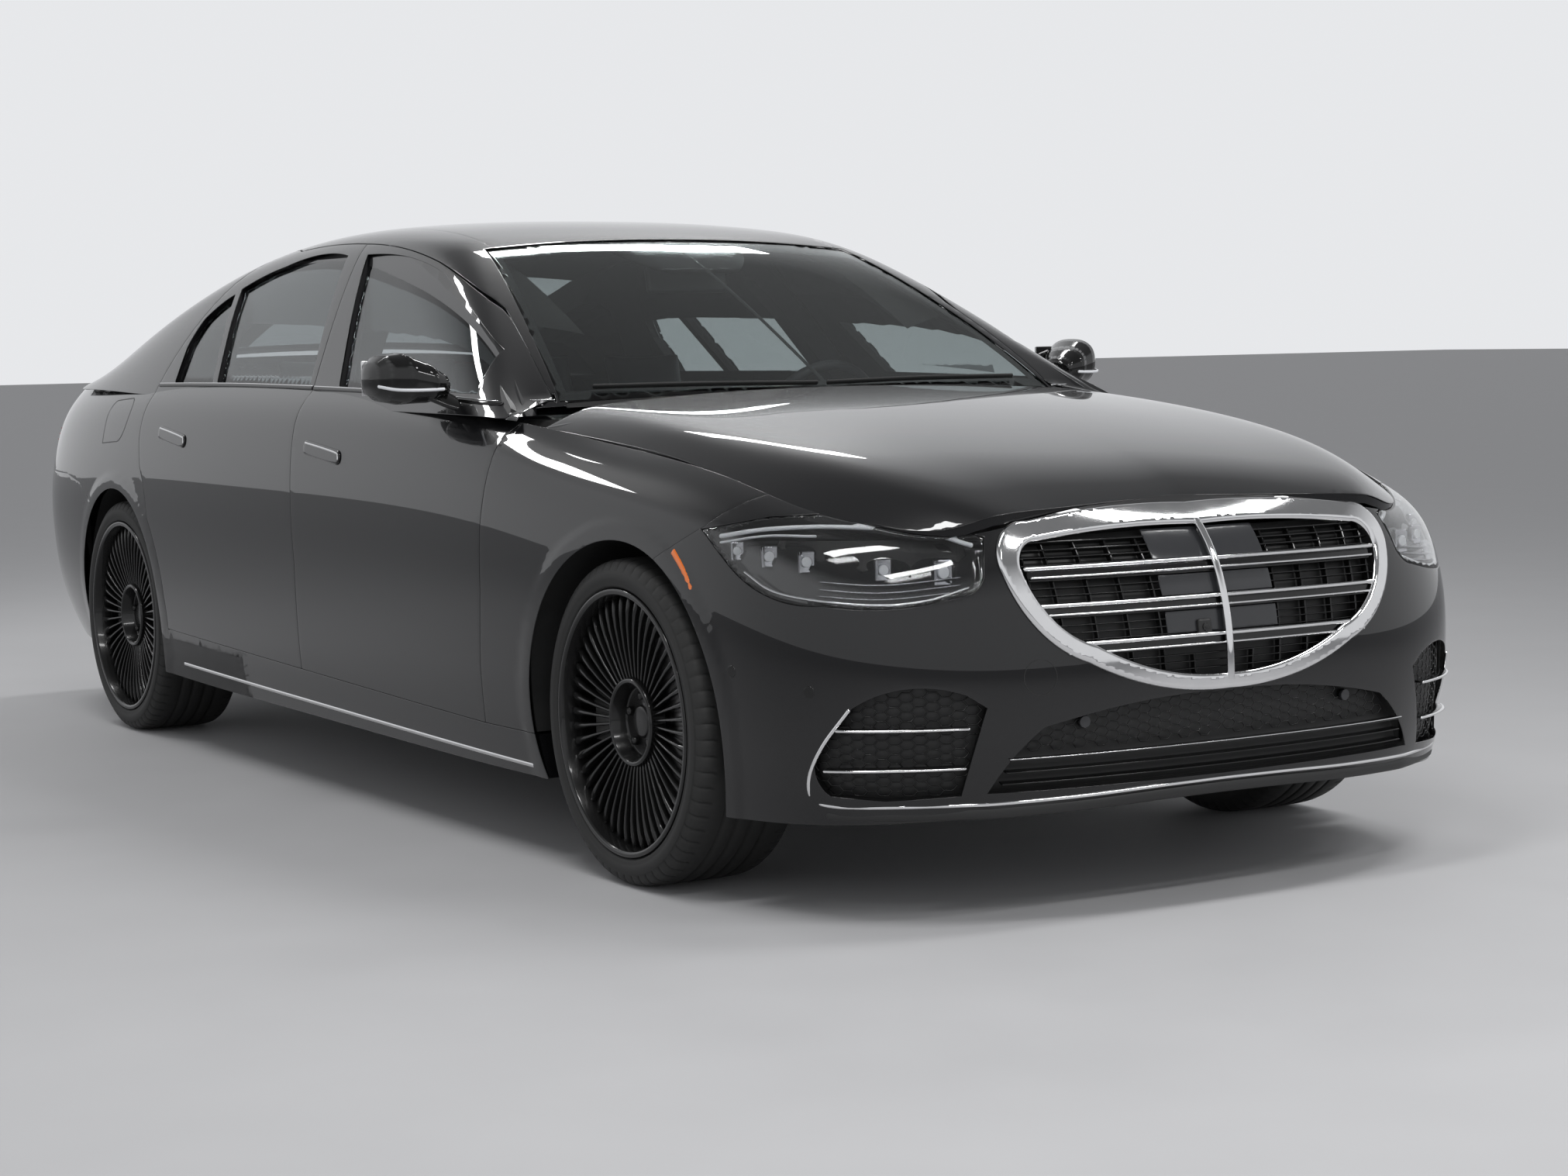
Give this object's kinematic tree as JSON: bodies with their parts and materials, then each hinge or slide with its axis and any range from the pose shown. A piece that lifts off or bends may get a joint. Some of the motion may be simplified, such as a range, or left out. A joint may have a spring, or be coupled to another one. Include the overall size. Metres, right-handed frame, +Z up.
{
  "type": "full-size four-door saloon car",
  "caption": "Full-size four-door saloon with hinged doors, bonnet and boot lid, steered front wheels and an upright barred grille.",
  "frame": {"origin": "on the ground under the middle of the car's length and width", "axes": "+X forward, +Y to the car's left, +Z up"},
  "size_m": [5.3147, 2.12, 1.502],
  "materials": {
    "body_paint": "gloss black paint under clear lacquer",
    "tinted_glass": "dark tinted glass",
    "grille_chrome": "bright plated trim",
    "lamp_clear": "clear lamp cover",
    "lamp_red": "red lamp cover",
    "underbody_black": "matt black sealed panel",
    "running_gear_metal": "bare cast metal",
    "interior_plastic": "dark blue-grey soft plastic",
    "seat_leather": "dark blue-grey leather",
    "wheel_black": "gloss black wheel",
    "tyre_rubber": "black rubber"
  },
  "bodies": {
    "car": {"roof": "body_paint", "windscreen": "tinted_glass", "rear_window": "tinted_glass", "body_side_left": "body_paint", "body_side_right": "body_paint", "side_frame_left": "underbody_black", "side_frame_right": "underbody_black", "side_skirts": "body_paint", "fender_left": "body_paint", "fender_right": "body_paint", "front_bumper": "body_paint", "rear_bumper": "body_paint", "grille": "grille_chrome", "lower_grille": "grille_chrome", "headlamps": "lamp_clear", "tail_lamps": "lamp_red", "carriers": "underbody_black", "floor": "underbody_black", "liners": "underbody_black", "front_axle": "running_gear_metal", "rear_axle": "running_gear_metal", "engine": "running_gear_metal", "dashboard": "interior_plastic", "front_seats": "seat_leather", "rear_bench": "seat_leather", "exhaust": "running_gear_metal"},
    "bonnet": {"bonnet": "body_paint"},
    "boot_lid": {"boot_lid": "body_paint"},
    "steering_wheel": {"steering_wheel": "interior_plastic"},
    "front_door_left": {"front_door_left": "body_paint", "front_door_glass_left": "tinted_glass", "mirror_left": "body_paint"},
    "rear_door_left": {"rear_door_left": "body_paint", "rear_door_glass_left": "tinted_glass"},
    "knuckle_left": {"knuckle_left": "running_gear_metal"},
    "wheel_front_left": {"rim_front_left": "wheel_black", "tyre_front_left": "tyre_rubber"},
    "wheel_rear_left": {"rim_rear_left": "wheel_black", "tyre_rear_left": "tyre_rubber"},
    "front_door_right": {"front_door_right": "body_paint", "front_door_glass_right": "tinted_glass", "mirror_right": "body_paint"},
    "rear_door_right": {"rear_door_right": "body_paint", "rear_door_glass_right": "tinted_glass"},
    "knuckle_right": {"knuckle_right": "running_gear_metal"},
    "wheel_front_right": {"rim_front_right": "wheel_black", "tyre_front_right": "tyre_rubber"},
    "wheel_rear_right": {"rim_rear_right": "wheel_black", "tyre_rear_right": "tyre_rubber"}
  },
  "joints": [
    {"name": "front_door_left_hinge", "type": "hinge", "parent": "car", "child": "front_door_left", "pos_m": [1.04, 0.938, 0.625], "axis": [0, 0, -1], "range_deg": [0, 65]},
    {"name": "rear_door_left_hinge", "type": "hinge", "parent": "car", "child": "rear_door_left", "pos_m": [-0.085, 0.938, 0.625], "axis": [0, 0, -1], "range_deg": [0, 65]},
    {"name": "steer_left", "type": "hinge", "parent": "car", "child": "knuckle_left", "pos_m": [1.76, 0.8015, 0.352], "axis": [0, 0, 1], "range_deg": [-33, 33]},
    {"name": "spin_front_left", "type": "hinge", "parent": "knuckle_left", "child": "wheel_front_left", "pos_m": [1.76, 0.8015, 0.352], "axis": [0, 1, 0], "continuous": true},
    {"name": "spin_rear_left", "type": "hinge", "parent": "car", "child": "wheel_rear_left", "pos_m": [-1.456, 0.8015, 0.352], "axis": [0, 1, 0], "continuous": true},
    {"name": "front_door_right_hinge", "type": "hinge", "parent": "car", "child": "front_door_right", "pos_m": [1.04, -0.938, 0.625], "axis": [0, 0, 1], "range_deg": [0, 65]},
    {"name": "rear_door_right_hinge", "type": "hinge", "parent": "car", "child": "rear_door_right", "pos_m": [-0.085, -0.938, 0.625], "axis": [0, 0, 1], "range_deg": [0, 65]},
    {"name": "steer_right", "type": "hinge", "parent": "car", "child": "knuckle_right", "pos_m": [1.76, -0.8015, 0.352], "axis": [0, 0, 1], "range_deg": [-33, 33]},
    {"name": "spin_front_right", "type": "hinge", "parent": "knuckle_right", "child": "wheel_front_right", "pos_m": [1.76, -0.8015, 0.352], "axis": [0, 1, 0], "continuous": true},
    {"name": "spin_rear_right", "type": "hinge", "parent": "car", "child": "wheel_rear_right", "pos_m": [-1.456, -0.8015, 0.352], "axis": [0, 1, 0], "continuous": true},
    {"name": "bonnet_hinge", "type": "hinge", "parent": "car", "child": "bonnet", "pos_m": [1.215, 0, 0.985], "axis": [0, -1, 0], "range_deg": [0, 45]},
    {"name": "boot_lid_hinge", "type": "hinge", "parent": "car", "child": "boot_lid", "pos_m": [-1.975, 0, 1.094], "axis": [0, 1, 0], "range_deg": [0, 70]},
    {"name": "steering_column", "type": "hinge", "parent": "car", "child": "steering_wheel", "pos_m": [0.5, 0.37, 0.93], "axis": [-0.9135, 0, 0.4067], "range_deg": [-480, 480]}
  ],
  "couplings": [
    {"joint": "steer_right", "follows": "steer_left", "ratio": 1},
    {"joint": "steering_column", "follows": "steer_left", "ratio": 14.5}
  ]
}
